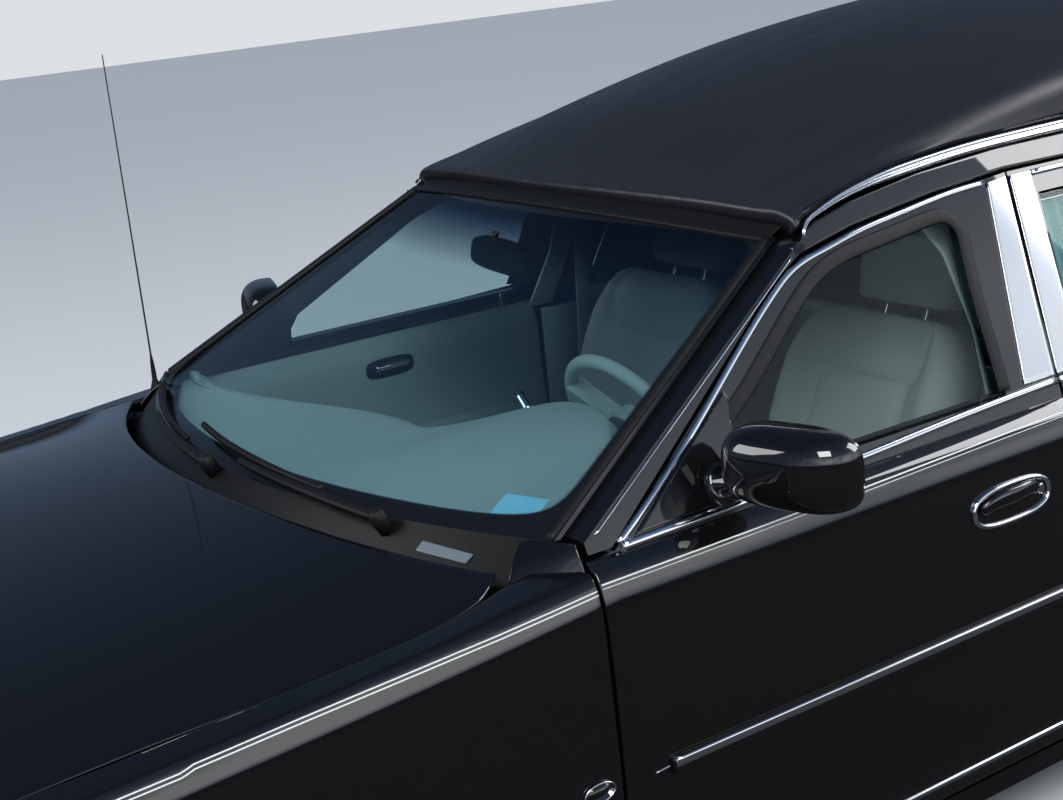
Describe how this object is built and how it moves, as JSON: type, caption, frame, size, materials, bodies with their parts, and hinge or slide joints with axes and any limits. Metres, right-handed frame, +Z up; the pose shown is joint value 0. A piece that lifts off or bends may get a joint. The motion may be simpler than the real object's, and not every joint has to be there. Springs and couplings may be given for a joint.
{
  "type": "hearse",
  "caption": "Long four-door funeral car with a raised padded roof, hollow cabin and load deck, opening doors and hood, steered front wheels.",
  "frame": {"origin": "middle of the bounding box on the ground that the tyres stand on", "axes": "+X points forward, +Y to the car's left, +Z up"},
  "size_m": [6.4013, 2.2418, 1.7399],
  "materials": {
    "black_paint": "high gloss",
    "vinyl": "grained, satin",
    "bright_metal": "polished",
    "clear_glass": "polished",
    "lamp_lens": "clear",
    "red_lens": "clear",
    "black_plastic": "grained",
    "grey_trim": "grained, soft",
    "seat_leather": "satin",
    "curtain_cloth": "pleated, soft",
    "tyre_rubber": "matt",
    "wheel_alloy": "machined, lacquered",
    "chassis_steel": "satin",
    "cast_metal": "raw",
    "deck_laminate": "lacquered"
  },
  "bodies": {
    "body_shell": {"antenna": "black_plastic", "casket_deck": "deck_laminate", "cowl_panel": "black_plastic", "dashboard": "grey_trim", "deck_rollers": "bright_metal", "engine_block": "cast_metal", "exhaust": "chassis_steel", "fenders": "black_paint", "floor_pan": "chassis_steel", "front_bumper": "black_paint", "front_seats": "seat_leather", "front_subframe": "chassis_steel", "front_upper_arms": "chassis_steel", "front_wheelhouses": "black_plastic", "grille": "bright_metal", "headlamps": "lamp_lens", "landau_bars": "bright_metal", "partition": "grey_trim", "quarter_panels": "black_paint", "radiator_support": "black_plastic", "rear_axle": "chassis_steel", "rear_bumper": "black_paint", "rear_wheelhouses": "black_plastic", "roof": "vinyl", "roof_mouldings": "bright_metal", "side_frames": "black_paint", "tail_frame": "black_paint", "tail_lamps": "red_lens", "upper_quarters": "vinyl", "windshield": "clear_glass", "wipers": "black_plastic"},
    "hood": {"hood": "black_paint"},
    "front_door_left": {"front_door_left": "black_paint", "front_door_glass_left": "clear_glass", "mirror_left": "black_paint"},
    "front_door_right": {"front_door_right": "black_paint", "front_door_glass_right": "clear_glass", "mirror_right": "black_paint"},
    "rear_door_left": {"rear_door_left": "black_paint", "rear_door_glass_left": "clear_glass", "rear_door_curtain_left": "curtain_cloth"},
    "rear_door_right": {"rear_door_right": "black_paint", "rear_door_glass_right": "clear_glass", "rear_door_curtain_right": "curtain_cloth"},
    "load_door": {"load_door": "black_paint", "load_door_glass": "clear_glass", "load_door_curtain": "curtain_cloth"},
    "steering_wheel": {"steering_wheel": "grey_trim"},
    "knuckle_left": {"knuckle_left": "cast_metal"},
    "knuckle_right": {"knuckle_right": "cast_metal"},
    "front_left_wheel": {"front_left_tyre": "tyre_rubber", "front_left_rim": "wheel_alloy"},
    "front_right_wheel": {"front_right_tyre": "tyre_rubber", "front_right_rim": "wheel_alloy"},
    "rear_left_wheel": {"rear_left_tyre": "tyre_rubber", "rear_left_rim": "wheel_alloy"},
    "rear_right_wheel": {"rear_right_tyre": "tyre_rubber", "rear_right_rim": "wheel_alloy"}
  },
  "joints": [
    {"name": "hood_hinge", "type": "hinge", "parent": "body_shell", "child": "hood", "pos_m": [1.56, 0, 0.97], "axis": [0, -1, 0], "range_deg": [0, 50]},
    {"name": "front_door_left_hinge", "type": "hinge", "parent": "body_shell", "child": "front_door_left", "pos_m": [1.507, 0.943, 0.6], "axis": [0, 0, -1], "range_deg": [0, 65]},
    {"name": "front_door_right_hinge", "type": "hinge", "parent": "body_shell", "child": "front_door_right", "pos_m": [1.507, -0.943, 0.6], "axis": [0, 0, 1], "range_deg": [0, 65]},
    {"name": "rear_door_left_hinge", "type": "hinge", "parent": "body_shell", "child": "rear_door_left", "pos_m": [0.338, 0.943, 0.6], "axis": [0, 0, -1], "range_deg": [0, 65]},
    {"name": "rear_door_right_hinge", "type": "hinge", "parent": "body_shell", "child": "rear_door_right", "pos_m": [0.338, -0.943, 0.6], "axis": [0, 0, 1], "range_deg": [0, 65]},
    {"name": "load_door_hinge", "type": "hinge", "parent": "body_shell", "child": "load_door", "pos_m": [-3.15, 0.585, 0.8], "axis": [0, 0, -1], "range_deg": [0, 105]},
    {"name": "knuckle_left_steer", "type": "hinge", "parent": "body_shell", "child": "knuckle_left", "pos_m": [2.135, 0.736, 0.344], "axis": [0, 0, 1], "range_deg": [-33, 33]},
    {"name": "knuckle_right_steer", "type": "hinge", "parent": "body_shell", "child": "knuckle_right", "pos_m": [2.135, -0.736, 0.344], "axis": [0, 0, 1], "range_deg": [-33, 33]},
    {"name": "steering_wheel_turn", "type": "hinge", "parent": "body_shell", "child": "steering_wheel", "pos_m": [1.01, 0.37, 0.93], "axis": [-0.9063, 0, 0.4226], "range_deg": [-528, 528]},
    {"name": "front_left_wheel_spin", "type": "hinge", "parent": "knuckle_left", "child": "front_left_wheel", "pos_m": [2.135, 0.796, 0.344], "axis": [0, 1, 0], "continuous": true},
    {"name": "front_right_wheel_spin", "type": "hinge", "parent": "knuckle_right", "child": "front_right_wheel", "pos_m": [2.135, -0.796, 0.344], "axis": [0, 1, 0], "continuous": true},
    {"name": "rear_left_wheel_spin", "type": "hinge", "parent": "body_shell", "child": "rear_left_wheel", "pos_m": [-1.555, 0.79, 0.344], "axis": [0, 1, 0], "continuous": true},
    {"name": "rear_right_wheel_spin", "type": "hinge", "parent": "body_shell", "child": "rear_right_wheel", "pos_m": [-1.555, -0.79, 0.344], "axis": [0, 1, 0], "continuous": true}
  ],
  "couplings": [
    {"joint": "knuckle_right_steer", "follows": "knuckle_left_steer", "ratio": 1},
    {"joint": "steering_wheel_turn", "follows": "knuckle_left_steer", "ratio": 16}
  ]
}
